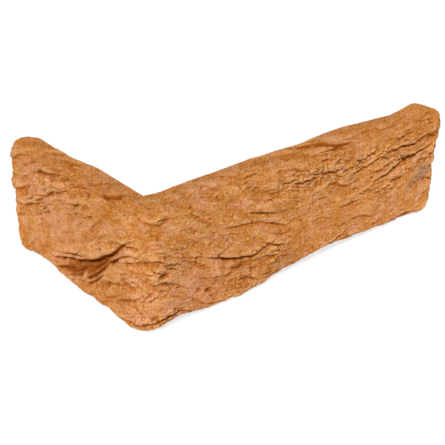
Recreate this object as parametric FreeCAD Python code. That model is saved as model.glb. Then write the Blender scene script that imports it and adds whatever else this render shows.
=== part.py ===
import FreeCAD, Part

import math
import os
from dataclasses import dataclass

import Mesh

# Brick slip for an outer corner. One riven, fired body with two legs at a right angle.
# Frame: the foot of the line where the two flat backs meet is the origin, +X runs along the
# back of the long leg, +Y along the back of the short leg, +Z is up. Millimetres throughout.
#
# The body starts as a plain block with two legs. Its edges and tips are worn round, and its
# bed and crest follow wavy outlines. Then the skin is riven: it is moved out and in along its
# own normals by broad swells, by the broken edges of the strata and by single long folds. The
# riven skin is faceted, as split stone is, and the two backs are flat.

# Overall sizes of the block. The riven skin stands up to about 1.5 mm out from the legs
LONG_LEG = 215.0
SHORT_LEG = 117.0
HEIGHT = 65.0
THICKNESS = 15.0

# Worn edges of the outer skin
CORNER_RADIUS = 14.0
BED_WEAR = 4.5
CREST_WEAR = 7.0
END_WEAR = 5.0

# Worn tips, seen in elevation
LONG_LOW_TIP_RADIUS = 10.5
LONG_HIGH_TIP_RADIUS = 8.5
SHORT_LOW_TIP_RADIUS = 5.0
SHORT_HIGH_TIP_RADIUS = 7.5

# How far the wavy outlines of bed and crest stand in, and how far the outline of an end reaches
LOBE_DROP = 2.4
END_REACH = 22.5

# Broad swells of the skin
BROAD_SWELL = 0.9
BROAD_CELL = (44.0, 30.0, 14.0)
BROAD_SEED = 7.0

# Strata: their thickness, how far they stand over each other, and how they sway
STRATUM_THICKNESS = 7.0
STRATUM_STEP = 2.2
STRATUM_SLOPE = 0.35
STRATUM_SEED = 41.0
SPLIT_SHARE = 0.20
SPLIT_CUT = 0.5
SWAY = 2.4
SWAY_CELL = (38.0, 38.0, 30.0)
SWAY_SEED = 3.0

# Roughness: plain skin, the least and the most, and its own slow change
PLAIN_ROUGH = 0.30
LEAST_ROUGH = 0.12
MOST_ROUGH = 1.25
ROUGH_CHANGE = 0.35
ROUGH_CELL = (22.0, 22.0, 14.0)
ROUGH_SEED = 31.0

# Share of the relief that is gone at the backs
BACK_FADE = 0.65

# Spacing of the facets
LONG_STEP = 3.6
RISE_STEP = 1.4
END_STEP = 7.0


@dataclass(frozen=True)
class Fold:
    """A long break: the skin lips out above its line and is cut in below it."""

    line: tuple
    cut: float
    width: float
    lip: float
    drop: float
    reach: float


@dataclass(frozen=True)
class Patch:
    """A soft-edged patch of the skin: its centre, half sizes and strength."""

    along: float
    height: float
    half_along: float
    half_height: float
    strength: float


@dataclass(frozen=True)
class Leg:
    """One leg of the slip, described from the outer corner outward."""

    length: float
    side: int
    low_tip: float
    high_tip: float
    end_outline: tuple


# Main folds. The points of a line are distance from the outer corner (short leg negative) and
# height on the outer face, which runs on over the crest
FOLDS = (
    Fold(((-78, 8), (-60, 18), (-45, 22), (-31, 29), (-19, 39), (-6, 49)), 1.7, 1.5, 1.3, 1.6, 7.0),
    Fold(((-58, 12), (-39, 21), (-26, 31), (-13, 39), (0, 40)), 0.9, 1.4, 0.9, 0.3, 3.0),
    Fold(((-75, 4), (-56, 13), (-48, 16)), 1.0, 1.4, 0.6, 0.6, 4.0),
    Fold(((38, 31), (52, 25), (67, 21), (77, 24), (84, 26)), 1.8, 1.4, 1.2, 1.2, 5.0),
    Fold(((92, 79), (107, 75), (117, 69), (125, 63), (140, 61)), 1.7, 1.4, 1.0, 1.0, 5.0),
    Fold(((155, 34), (170, 37), (182, 41), (208, 43)), 1.9, 1.4, 1.0, 1.2, 5.0),
    Fold(((172, 49), (186, 50), (207, 50)), 1.4, 1.4, 0.8, 0.8, 4.0),
    Fold(((-31, 65), (-19, 69), (-9, 76)), 1.6, 1.4, 1.0, 0.8, 4.0),
    Fold(((-99, 32), (-84, 36), (-73, 44)), 0.9, 1.4, 0.5, 0.5, 4.0),
    Fold(((-80, 48), (-65, 53), (-58, 57)), 0.9, 1.4, 0.5, 0.5, 4.0),
    Fold(((-14, 36), (0, 39), (14, 37), (27, 33)), 1.0, 1.4, 0.7, 0.5, 4.0),
    Fold(((52, 20), (60, 18), (80, 18), (92, 12)), 1.0, 1.4, 0.7, 0.6, 4.0),
    Fold(((201, 23), (214, 20)), 1.0, 1.4, 0.5, 0.5, 4.0),
)

# Patches that split more than the rest
ROUGH_PATCHES = (
    Patch(-68, 60, 26, 12, 0.9),
    Patch(-90, 38, 18, 10, 0.6),
    Patch(-45, 22, 30, 10, 0.3),
    Patch(8, 30, 26, 12, 0.6),
    Patch(8, 5, 16, 5, 0.8),
    Patch(75, 14, 26, 9, 0.8),
    Patch(118, 50, 34, 8, 0.9),
    Patch(112, 70, 24, 6, 0.6),
    Patch(186, 46, 30, 16, 1.0),
    Patch(160, 27, 20, 6, 0.6),
    Patch(-50, 74, 40, 6, 0.6),
    Patch(60, 74, 40, 6, 0.5),
    Patch(160, 74, 40, 6, 0.5),
)

# Bulges of the skin. The strength of one is how far it stands out
BULGES = (
    Patch(-116, 54, 8, 7, 0.9),
    Patch(-112, 70, 8, 7, 0.7),
    Patch(-117, 44, 7, 5, 1.3),
    Patch(-37, 3, 6, 5, 0.4),
    Patch(-20, 4, 7, 6, 0.5),
    Patch(69, 4, 9, 6, 1.8),
    Patch(213, 63, 8, 7, 0.9),
    Patch(-116, 26, 6, 6, 0.7),
    Patch(-116, 8, 7, 10, 0.8),
    Patch(52, 3, 7, 5, 0.8),
    Patch(202, 3, 8, 6, 1.7),
)

# Course of one stratum round the slip: distance from the outer corner, height
STRATUM_COURSE = (
    (-125, -16), (-76, 8), (-39, 23), (-13, 39), (4, 41), (25, 34), (60, 20), (100, 9),
    (140, 5), (175, 8), (220, 15),
)

# Wavy outline of bed and crest: distance from the outer corner, share of the lobe drop
BED_OUTLINE = (
    (-120, 0.2), (-107, 0.2), (-88, 1.4), (-72, 0.8), (-55, 0.1), (-44, 0.6), (-36, 0.5),
    (-28, 1.2), (-20, 0.6), (-10, 0.5), (0, 0.4), (18, 1.2), (36, 0.4), (52, 0.1), (69, 0.1),
    (78, 0.4), (88, 1.2), (112, 1.8), (130, 1.6), (150, 1.1), (172, 0.4), (190, 0.2),
    (203, 0.3), (218, 0.4),
)
CREST_OUTLINE = (
    (-120, 0.1), (-98, 1.0), (-70, 1.1), (-54, 0.6), (-42, 0.2), (-16, 0.5), (0, 0.6), (9, 0.9), (20, 0.7),
    (44, 0.6), (66, 0.4), (76, 0.6), (90, 0.6), (104, 0.9), (118, 0.5), (142, 0.4), (158, 0.8),
    (176, 1.3), (190, 1.1), (202, 0.5), (211, 0.7), (220, 0.6),
)

LONG_SIDE = Leg(
    LONG_LEG, 1, LONG_LOW_TIP_RADIUS, LONG_HIGH_TIP_RADIUS,
    ((0, -0.8), (12, -0.6), (24, -1.4), (36, -2.7), (43, -2.0), (49, 0.5), (56, -0.2), (66, -1.6)),
)
SHORT_SIDE = Leg(
    SHORT_LEG, -1, SHORT_LOW_TIP_RADIUS, SHORT_HIGH_TIP_RADIUS,
    ((0, -0.2), (10, -0.5), (24, -0.7), (36, -0.7), (44, -1.0), (50, -1.4), (57, -0.9), (66, -0.4)),
)


def follow(line: tuple, at: float) -> float:
    """Return the value of a smooth line through the given points.

    Args:
        line: Points as (position, value), in rising order of position.
        at: Position to read; it is held to the ends of the line.

    Returns:
        The value of the line at that position.
    """
    if at <= line[0][0]:
        return line[0][1]
    if at >= line[-1][0]:
        return line[-1][1]
    index = 0
    while line[index + 1][0] < at:
        index += 1
    (x0, y0), (x1, y1) = line[index], line[index + 1]
    before = line[max(index - 1, 0)]
    after = line[min(index + 2, len(line) - 1)]
    span = x1 - x0
    slope0 = (y1 - before[1]) / (x1 - before[0])
    slope1 = (after[1] - y0) / (after[0] - x0)
    share = (at - x0) / span
    rest = 1.0 - share
    return (
        y0 * (1.0 + 2.0 * share) * rest * rest
        + y1 * share * share * (3.0 - 2.0 * share)
        + slope0 * span * share * rest * rest
        - slope1 * span * share * share * rest
    )


def hold(value: float, low: float, high: float) -> float:
    """Return the value, held between two limits."""
    return min(max(value, low), high)


def ease(value: float) -> float:
    """Return a smooth step from 0 to 1 for a value from 0 to 1."""
    held = hold(value, 0.0, 1.0)
    return held * held * (3.0 - 2.0 * held)


def soften(first: float, second: float, radius: float) -> tuple:
    """Wear a square edge down to a round one.

    Args:
        first: Distance of the point from the first face.
        second: Distance of the point from the second face.
        radius: Radius of the round.

    Returns:
        The two distances of the moved point.
    """
    if first >= radius or second >= radius:
        return first, second
    in_first, in_second = radius - first, radius - second
    taken = 1.0 - max(in_first, in_second) / math.hypot(in_first, in_second)
    return first + in_first * taken, second + in_second * taken


def knot_slope(knot: tuple, seed: float) -> tuple:
    """Return the direction in which the noise rises at one knot of its lattice."""
    code = knot[0] * 127.1 + knot[1] * 311.7 + knot[2] * 74.7 + seed * 53.3
    turn = (math.sin(code) * 43758.5453) % 1.0 * 2.0 * math.pi
    tilt = (math.sin(code * 1.7 + 1.3) * 24634.6345) % 1.0 * 2.0 - 1.0
    level = math.sqrt(1.0 - tilt * tilt)
    return level * math.cos(turn), level * math.sin(turn), tilt


def grain(place: tuple, cell: tuple, seed: float) -> float:
    """Return smooth gradient noise from about -1 to 1.

    Args:
        place: Where the noise is read, in millimetres.
        cell: Size of one cell of the noise.
        seed: Number that picks the pattern.

    Returns:
        The noise at that place.
    """
    scaled = [place[axis] / cell[axis] for axis in range(3)]
    low = [math.floor(value) for value in scaled]
    inside = [value - floor for value, floor in zip(scaled, low)]
    weight = [part ** 3 * (part * (part * 6.0 - 15.0) + 10.0) for part in inside]
    total = 0.0
    for corner in range(8):
        step = (corner & 1, corner >> 1 & 1, corner >> 2 & 1)
        slope = knot_slope(tuple(low[axis] + step[axis] for axis in range(3)), seed)
        share = sum(slope[axis] * (inside[axis] - step[axis]) for axis in range(3))
        for axis in range(3):
            share *= weight[axis] if step[axis] else 1.0 - weight[axis]
        total += share
    return total * 1.6


def patch_share(patch: Patch, along: float, height: float) -> float:
    """Return how much of a patch's strength reaches a place."""
    far_along = (along - patch.along) / patch.half_along
    far_height = (height - patch.height) / patch.half_height
    return patch.strength * math.exp(-(far_along ** 2) - far_height ** 2)


def fold_relief(fold: Fold, along: float, height: float) -> float:
    """Return how far one fold moves the skin outward at a place."""
    first, last = fold.line[0][0], fold.line[-1][0]
    inside = min(along - first, last - along) / (0.5 * (last - first))
    strength = 0.85 * hold(1.6 * inside + 0.12, 0.0, 1.0)
    if strength == 0.0:
        return 0.0
    width = fold.width * (0.45 + 0.55 * strength)
    offset = height - follow(fold.line, along)
    step = ease(0.5 + offset / width)
    lip = fold.lip * step * math.exp(-max(offset, 0.0) / fold.reach)
    drop = fold.drop * (1.0 - step) * math.exp(min(offset, 0.0) / fold.reach)
    notch = math.exp(-(abs((offset + 0.4 * width) / width) ** 1.6))
    return strength * (lip - drop - fold.cut * notch)


def stratum_relief(along: float, depth: float, flow: float) -> float:
    """Return the broken edges of the strata at a place, as a share of the stratum step.

    Args:
        along: Distance from the outer corner.
        depth: Distance behind the outer face.
        flow: Height across the strata.

    Returns:
        The outward offset, from about -1 to 1.
    """
    pitch = STRATUM_THICKNESS
    place = (along, depth, flow)
    sway = grain(place, (4.5 * pitch, 4.0 * pitch, 3.0 * pitch), STRATUM_SEED)
    ripple = grain(place, (1.1 * pitch, pitch, pitch), STRATUM_SEED + 1.0)
    course = flow / pitch + 0.9 * sway + 0.16 * ripple
    count = math.floor(course)
    part = course - count
    stratum_cell = (3.2 * pitch, 3.0 * pitch, 1.0 / 3.37)
    lower = grain((along, depth, count), stratum_cell, STRATUM_SEED + 2.0)
    upper = grain((along, depth, count + 1), stratum_cell, STRATUM_SEED + 2.0)
    gap = upper - lower
    step = ease((part - 1.0 + SPLIT_SHARE) / SPLIT_SHARE)
    slope = STRATUM_SLOPE * (0.5 - part) * hold(2.0 * gap, 0.0, 1.0)
    notch = math.exp(-((part - 1.0 + 0.8 * SPLIT_SHARE) / (0.5 * SPLIT_SHARE)) ** 2)
    return lower + gap * step + slope - SPLIT_CUT * notch * hold(1.6 * gap, 0.0, 1.0)


def relief(along: float, depth: float, rise: float) -> float:
    """Return how far the riven skin stands out from the worn block.

    Args:
        along: Distance from the outer corner, negative on the short leg.
        depth: Distance behind the outer face.
        rise: Height on the plain block.

    Returns:
        Outward offset in millimetres.
    """
    over_crest = ease((rise - HEIGHT + THICKNESS) / THICKNESS)
    under_bed = ease((THICKNESS - rise) / THICKNESS)
    height = rise + depth * (over_crest - under_bed)
    level = height - follow(STRATUM_COURSE, along)
    flow = level + SWAY * grain((along, depth, level), SWAY_CELL, SWAY_SEED)
    rough = PLAIN_ROUGH + max(patch_share(patch, along, height) for patch in ROUGH_PATCHES)
    rough += ROUGH_CHANGE * grain((along, depth, height), ROUGH_CELL, ROUGH_SEED)
    rough = hold(rough, LEAST_ROUGH, MOST_ROUGH)
    broad = BROAD_SWELL * grain((along, depth, flow), BROAD_CELL, BROAD_SEED)
    strata = STRATUM_STEP * (0.35 + 0.65 * rough) * stratum_relief(along, depth, flow)
    folds = sum(fold_relief(fold, along, height) for fold in FOLDS)
    bulges = sum(patch_share(patch, along, height) for patch in BULGES)
    return (broad + strata + folds + bulges) * (1.0 - BACK_FADE * depth / THICKNESS)


def worn_point(leg: Leg, share: float, depth: float, rise: float) -> FreeCAD.Vector:
    """Place one point of the worn block, before it is riven.

    Args:
        leg: The leg that the point belongs to.
        share: Place along the leg, 0 at the mitre and 1 at its end.
        depth: Distance behind the outer face, up to the thickness.
        rise: Height on the plain block.

    Returns:
        The point in the frame of the part.
    """
    low_half = rise < 0.5 * HEIGHT
    from_bed = rise if low_half else HEIGHT - rise
    from_end = (leg.length - depth) * (1.0 - share)

    # The tip is a quarter round in elevation, and the worn edge follows its rim
    tip = leg.low_tip if low_half else leg.high_tip
    rim = min(from_end, from_bed)
    to_end = 1.0 if from_end < from_bed else 0.0
    to_bed = 1.0 - to_end
    if from_end < tip and from_bed < tip:
        reach = math.hypot(tip - from_end, tip - from_bed)
        to_end, to_bed = (tip - from_end) / reach, (tip - from_bed) / reach
        from_end = tip - (tip - rim) * to_end
        from_bed = tip - (tip - rim) * to_bed
    wear = END_WEAR * to_end ** 2 + (BED_WEAR if low_half else CREST_WEAR) * to_bed ** 2
    inward, worn_rim = soften(depth, rim, min(wear, THICKNESS))
    along = leg.length - from_end - (worn_rim - rim) * to_end
    from_bed += (worn_rim - rim) * to_bed
    height = from_bed if low_half else HEIGHT - from_bed

    # The outer corner is round in plan
    radius = min(CORNER_RADIUS, 0.95 * THICKNESS)
    if along < radius and inward < radius and depth < radius:
        in_along = (radius - along) * (radius - inward) / (radius - depth)
        in_depth = radius - inward
        scale = max(in_along, in_depth) / math.hypot(in_along, in_depth)
        along, inward = radius - in_along * scale, radius - in_depth * scale

    # Bed, crest and end follow their wavy outlines
    signed = leg.side * leg.length * share
    low = LOBE_DROP * follow(BED_OUTLINE, signed)
    high = HEIGHT - LOBE_DROP * follow(CREST_OUTLINE, signed)
    height = low + (high - low) * height / HEIGHT
    along += follow(leg.end_outline, height) * ease(1.0 - (leg.length - along) / END_REACH)
    if leg.side > 0:
        return FreeCAD.Vector(along - THICKNESS, inward - THICKNESS, height)
    return FreeCAD.Vector(inward - THICKNESS, along - THICKNESS, height)


def spaced(length: float, step: float, edge: float) -> list:
    """Return places over a length: even ones, and closer ones inside both of its edges."""
    near = [0.0, 0.35 * edge, edge]
    inner = length - 2.0 * edge
    count = max(round(inner / step), 1)
    middle = [edge + inner * index / count for index in range(1, count)]
    return near + middle + [length - value for value in reversed(near)]


class Skin:
    """The riven skin: places on the plain block, and the facets between them."""

    def __init__(self) -> None:
        """Start with no places and no facets."""
        self.places = {}
        self.facets = []

    def number(self, leg: Leg, share: float, depth: float, rise: float) -> int:
        """Return the number of a place; both legs share those at the mitre."""
        side = leg.side if share > 0.0 else 0
        key = (side, round(share, 6), round(depth, 4), round(rise, 4))
        if key not in self.places:
            self.places[key] = (len(self.places), leg, share, depth, rise)
        return self.places[key][0]

    def cover(self, leg: Leg, rows: list, outward: bool) -> None:
        """Lay facets over a grid of places.

        Each is split along the course of the strata, and at the tips through the corner.

        Args:
            leg: The leg that the grid lies on.
            rows: Rows of places as (share, depth, rise).
            outward: Whether a turn from the rows' way to the columns' way faces outward.
        """
        grid = [[self.number(leg, *place) for place in row] for row in rows]
        turned = outward == (leg.side > 0)
        for near, far, row in zip(grid, grid[1:], rows):
            signed = leg.side * leg.length * row[0][0]
            rising = follow(STRATUM_COURSE, signed) < follow(STRATUM_COURSE, signed + LONG_STEP)
            for index, (a, b, c, d) in enumerate(zip(near, far, far[1:], near[1:])):
                climbs = index > 0 if row is rows[-2] else rising == (leg.side > 0)
                halves = ((a, b, c), (a, c, d)) if climbs else ((a, b, d), (b, c, d))
                self.facets += [half if turned else half[::-1] for half in halves]

    def riven_points(self) -> list:
        """Return the finished points, moved along the normals of the worn block."""
        places = self.places.values()
        worn = [worn_point(leg, share, depth, rise) for _, leg, share, depth, rise in places]
        normals = [FreeCAD.Vector() for _ in worn]
        for first, second, third in self.facets:
            normal = (worn[second] - worn[first]).cross(worn[third] - worn[first])
            for index in (first, second, third):
                normals[index] += normal
        points = []
        for index, leg, share, depth, rise in places:
            offset = relief(leg.side * leg.length * share, depth, rise)
            outward = normals[index].normalize() * offset
            if depth == THICKNESS:
                outward.x *= leg.side > 0 and share > 0.0
                outward.y *= leg.side < 0 and share > 0.0
            points.append(worn[index] + outward)
        return points

    def shape(self) -> Part.Shape:
        """Return the open skin, with one flat face a facet."""
        points = [tuple(point) for point in self.riven_points()]
        mesh = Mesh.Mesh([tuple(points[index] for index in facet) for facet in self.facets])
        skin = Part.Shape()
        skin.makeShapeFromMesh(mesh.Topology, 1e-4)
        return skin


def cover_leg(skin: Skin, leg: Leg) -> None:
    """Lay the outer face, crest, bed and end of one leg on the skin."""
    wear = max(BED_WEAR, CREST_WEAR)
    shares = [place / leg.length for place in spaced(leg.length, LONG_STEP, END_STEP)]
    rises = spaced(HEIGHT, RISE_STEP, BED_WEAR)
    depths = [0.0, 0.2 * wear, 0.5 * wear, wear, 0.5 * (wear + THICKNESS), THICKNESS]
    skin.cover(leg, [[(share, 0.0, rise) for rise in rises] for share in shares], True)
    skin.cover(leg, [[(share, depth, HEIGHT) for depth in depths] for share in shares], True)
    skin.cover(leg, [[(share, depth, 0.0) for depth in depths] for share in shares], False)
    skin.cover(leg, [[(1.0, depth, rise) for rise in rises] for depth in depths], True)


def back_face(skin: Part.Shape, leg: Leg, inner_line: Part.Edge) -> Part.Face:
    """Return the flat back of one leg, inside the rim of the skin.

    Args:
        skin: The riven skin, open at the backs.
        leg: The leg whose back is closed.
        inner_line: The upright line where the two backs meet.

    Returns:
        The flat face.
    """
    rim = []
    for edge in skin.Edges:
        ends = [vertex.Point for vertex in edge.Vertexes]
        flat = all(abs(end.y if leg.side > 0 else end.x) < 1e-6 for end in ends)
        beside = all((end.x if leg.side > 0 else end.y) > -1e-6 for end in ends)
        if flat and beside:
            rim.append(edge)
    return Part.Face(Part.Wire(Part.sortEdges(rim + [inner_line])[0]))


def build_corner_slip() -> Part.Shape:
    """Rive the skin and close it with the two backs into the one solid body."""
    riven = Skin()
    for leg in (LONG_SIDE, SHORT_SIDE):
        cover_leg(riven, leg)
    skin = riven.shape()
    inner = [vertex.Point for vertex in skin.Vertexes if math.hypot(vertex.X, vertex.Y) < 1e-6]
    inner_line = Part.makeLine(*inner)
    backs = [back_face(skin, leg, inner_line) for leg in (LONG_SIDE, SHORT_SIDE)]
    shell = Part.makeShell(skin.Faces + backs)
    shell.sewShape()
    solid = Part.makeSolid(shell.Shells[0])
    if solid.Volume < 0.0:
        solid.reverse()
    return solid


def main() -> None:
    """Build the part and write its STEP file."""
    os.makedirs("parts", exist_ok=True)
    slip = build_corner_slip()
    slip.exportStep("parts/corner_slip.step")


main()
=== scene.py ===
"""Look of a riven brick slip for an outer corner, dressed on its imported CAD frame."""

import logging
import math
from dataclasses import dataclass, field
from enum import Enum

import bmesh
import bpy
import numpy as np
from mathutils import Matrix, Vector

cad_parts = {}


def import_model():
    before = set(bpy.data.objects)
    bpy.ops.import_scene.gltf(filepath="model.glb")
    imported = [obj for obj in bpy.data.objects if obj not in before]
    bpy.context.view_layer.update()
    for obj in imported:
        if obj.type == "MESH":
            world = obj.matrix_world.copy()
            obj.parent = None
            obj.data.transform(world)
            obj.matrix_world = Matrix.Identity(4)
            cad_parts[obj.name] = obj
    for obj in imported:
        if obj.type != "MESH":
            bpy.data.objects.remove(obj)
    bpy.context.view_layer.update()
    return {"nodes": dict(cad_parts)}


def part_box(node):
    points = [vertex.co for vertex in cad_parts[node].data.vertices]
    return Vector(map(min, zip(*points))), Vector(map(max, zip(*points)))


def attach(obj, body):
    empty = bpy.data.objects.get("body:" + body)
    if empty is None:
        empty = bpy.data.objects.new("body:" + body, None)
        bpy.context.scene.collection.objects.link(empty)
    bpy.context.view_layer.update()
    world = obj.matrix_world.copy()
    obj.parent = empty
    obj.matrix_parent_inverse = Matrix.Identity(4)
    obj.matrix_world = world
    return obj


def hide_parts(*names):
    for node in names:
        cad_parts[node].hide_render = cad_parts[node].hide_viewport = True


logging.basicConfig(level=logging.INFO, format="%(name)s: %(message)s")
LOG = logging.getLogger("corner_slip")

Socket = bpy.types.NodeSocket

# The slip is worked out in millimetres, and the scene is in metres
MM = 0.001

# Places that lie closer than this are one place
TOUCH_MM = 0.01
TOUCH_M = 1e-7

# The noise scatters its arms by the sine of a code, which each knot of its cells has
KNOT_CODE = np.array([127.1, 311.7, 74.7])
SEED_CODE = 53.3
TURN_SCATTER = 43758.5453
TILT_STRETCH = 1.7
TILT_SHIFT = 1.3
TILT_SCATTER = 24634.6345
NOISE_HEIGHT = 1.6


def follow(line: tuple, at: np.ndarray) -> np.ndarray:
    """Read a smooth line through given points.

    Args:
        line: Points as (position, value), in rising order of position.
        at: Positions to read; they are held to the ends of the line.

    Returns:
        The values of the line at those positions.
    """
    place = np.array([point[0] for point in line], float)
    value = np.array([point[1] for point in line], float)
    held = np.clip(at, place[0], place[-1])
    index = np.clip(np.searchsorted(place, held) - 1, 0, len(place) - 2)
    before = np.maximum(index - 1, 0)
    after = np.minimum(index + 2, len(place) - 1)
    span = place[index + 1] - place[index]
    slope0 = (value[index + 1] - value[before]) / (place[index + 1] - place[before])
    slope1 = (value[after] - value[index]) / (place[after] - place[index])
    share = (held - place[index]) / span
    rest = 1.0 - share
    return (
        value[index] * (1.0 + 2.0 * share) * rest * rest
        + value[index + 1] * share * share * (3.0 - 2.0 * share)
        + slope0 * span * share * rest * rest
        - slope1 * span * share * share * rest
    )


def ease(value: np.ndarray) -> np.ndarray:
    """Return a smooth step from 0 to 1 for values from 0 to 1."""
    held = np.clip(value, 0.0, 1.0)
    return held * held * (3.0 - 2.0 * held)


def soften(first: np.ndarray, second: np.ndarray, radius: np.ndarray) -> tuple:
    """Wear a square edge down to a round one.

    Args:
        first: Distances from the first face.
        second: Distances from the second face.
        radius: Radius of the round.

    Returns:
        The two distances after the wear.
    """
    near = (first < radius) & (second < radius)
    in_first = np.where(near, radius - first, 1.0)
    in_second = np.where(near, radius - second, 1.0)
    taken = 1.0 - np.maximum(in_first, in_second) / np.hypot(in_first, in_second)
    return (
        np.where(near, first + in_first * taken, first),
        np.where(near, second + in_second * taken, second),
    )


def grain(places: np.ndarray, seed: float) -> np.ndarray:
    """Return smooth gradient noise from about -1 to 1.

    Args:
        places: Points of three coordinates, in cells of the noise.
        seed: Number that picks the pattern.

    Returns:
        One noise value for each point.
    """
    cell = np.floor(places)
    inside = places - cell
    weight = inside ** 3 * (inside * (inside * 6.0 - 15.0) + 10.0)
    total = np.zeros(len(places))
    for corner in range(8):
        step = np.array([corner & 1, corner >> 1 & 1, corner >> 2 & 1], float)
        knot = cell + step
        code = knot @ KNOT_CODE + seed * SEED_CODE
        turn = (np.sin(code) * TURN_SCATTER) % 1.0 * 2.0 * math.pi
        tilt = np.sin(code * TILT_STRETCH + TILT_SHIFT) * TILT_SCATTER % 1.0 * 2.0 - 1.0
        level = np.sqrt(1.0 - tilt * tilt)
        across, through, up = (inside - step).T
        slope = across * level * np.cos(turn) + through * level * np.sin(turn) + up * tilt
        share = np.prod(np.where(step > 0.5, weight, 1.0 - weight), axis=1)
        total += share * slope
    return total * NOISE_HEIGHT


class Edge(Enum):
    """Families of edges on the plain block, each cut into its own number of steps."""

    ALONG_LONG = "along the long leg"
    ALONG_SHORT = "along the short leg"
    DEPTH = "through the thickness"
    RISE = "up the height"


@dataclass(frozen=True)
class Crease:
    """A break line of the riven skin, with a lip above it and a sunken step below it; its crack and
    that step are darkened with painted shade.

    Places are (distance from the outer corner, unrolled height), in millimetres. The
    distance is negative on the short leg, and the height runs on over the crest. The cut is
    the depth of the crack. The lip stands out above it and the drop falls back below it, and
    both fade over the reach. The other values say how a crease starts at its ends, how far
    its line and its strength waver, and how its crack lies.
    """

    line: tuple
    cut: float
    width: float = 0.9
    lip: float = 0.4
    drop: float = 0.5
    reach: float = 4.0
    end_strength: float = 0.12
    end_rise: float = 1.6
    overrun: float = 0.1
    mean_strength: float = 0.85
    strength_limits: tuple = (0.3, 1.3)
    waver: float = 0.5
    least_width: float = 0.45
    crack_sink: float = 0.4
    crack_power: float = 1.6
    drop_shade: float = 0.4

    def relief(self, along: np.ndarray, height: np.ndarray, wobble: np.ndarray) -> tuple:
        """Return the relief of the crease and how strongly painted shade darkens its crack and the
        drop below it.

        Args:
            along: Distances from the outer corner.
            height: Unrolled heights.
            wobble: Noise that roughens the line.

        Returns:
            Outward offsets in millimetres, and strengths of painted shade.
        """
        first, last = self.line[0][0], self.line[-1][0]
        inside = np.minimum(along - first, last - along) / (0.5 * (last - first))
        strength = np.clip(self.end_rise * inside + self.end_strength, 0.0, 1.0)
        strength = strength * (inside > -self.overrun)
        uneven = np.clip(self.mean_strength + self.waver * wobble, *self.strength_limits)
        strength = strength * uneven
        offset = height - follow(self.line, along) + self.waver * wobble
        fullness = np.clip(strength, 0.0, 1.0)
        width = self.width * (self.least_width + (1.0 - self.least_width) * fullness)
        above = np.exp(-np.maximum(offset, 0.0) / self.reach) * (offset > 0.0)
        below = np.exp(np.minimum(offset, 0.0) / self.reach) * (offset <= 0.0)
        crack = np.exp(-np.abs((offset + self.crack_sink * width) / width) ** self.crack_power)
        step = ease(0.5 + offset / width)
        relief = self.lip * above * step - self.drop * below * (1.0 - step) - self.cut * crack
        shade = crack * self.cut + self.drop_shade * below * self.drop
        return relief * strength, strength * shade


@dataclass(frozen=True)
class Patch:
    """A soft-edged patch of the skin: its centre, its half sizes and its strength."""

    along: float
    height: float
    half_along: float
    half_height: float
    strength: float


@dataclass(frozen=True)
class Weave:
    """One noise of the skin: the size of its cells in millimetres, and its pattern."""

    along: float
    depth: float
    height: float
    seed: float

    def at(self, along: np.ndarray, depth: np.ndarray, height: np.ndarray) -> np.ndarray:
        """Return the noise at places on the skin."""
        cells = np.stack([along / self.along, depth / self.depth, height / self.height], 1)
        return grain(cells, self.seed)


@dataclass(frozen=True)
class Strata:
    """Broken edges of strata of one thickness.

    Each stratum is a sheet that stands out or back by a noise of its own. Where the sheet
    above it stands out further, the two meet in a ledge with a notch under it. Sizes of
    cells are in thicknesses of a stratum, and heights are shares of a stratum.
    """

    thickness: float
    seed: float
    sway: float = 0.9
    sway_cells: tuple = (4.5, 4.0, 3.0)
    ripple: float = 0.16
    ripple_cells: tuple = (1.1, 1.0, 1.0)
    sheet_cells: tuple = (3.2, 3.0)
    sheet_gap: float = 3.37
    ledge: float = 0.20
    slant: float = 0.35
    slant_onset: float = 2.0
    notch_height: float = 0.84
    notch_width: float = 0.10
    notch_depth: float = 0.5
    notch_onset: float = 1.6

    def weave(self, cells: tuple, seed: float) -> Weave:
        """Return a noise with cells of so many strata."""
        return Weave(*(size * self.thickness for size in cells), seed)

    def edges(self, along: np.ndarray, depth: np.ndarray, flow: np.ndarray) -> tuple:
        """Return the broken edges.

        Args:
            along: Distances from the outer corner.
            depth: Distances behind the outer face.
            flow: Heights across the strata.

        Returns:
            Outward offsets from about -1 to 1, and notch strengths.
        """
        sway = self.weave(self.sway_cells, self.seed).at(along, depth, flow)
        ripple = self.weave(self.ripple_cells, self.seed + 1.0).at(along, depth, flow)
        place = flow / self.thickness + self.sway * sway + self.ripple * ripple
        count = np.floor(place)
        part = place - count
        across, through = (size * self.thickness for size in self.sheet_cells)
        sheet = Weave(across, through, 1.0, self.seed + 2.0)
        here = sheet.at(along, depth, count * self.sheet_gap)
        above = sheet.at(along, depth, (count + 1.0) * self.sheet_gap)
        overhang = above - here
        step = ease((part - 1.0 + self.ledge) / self.ledge)
        slant = self.slant * (0.5 - part) * np.clip(self.slant_onset * overhang, 0.0, 1.0)
        notch = np.exp(-((part - self.notch_height) / self.notch_width) ** 2)
        notch = notch * np.clip(self.notch_onset * overhang, 0.0, 1.0)
        return here + overhang * step + slant - self.notch_depth * notch, notch


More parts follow.
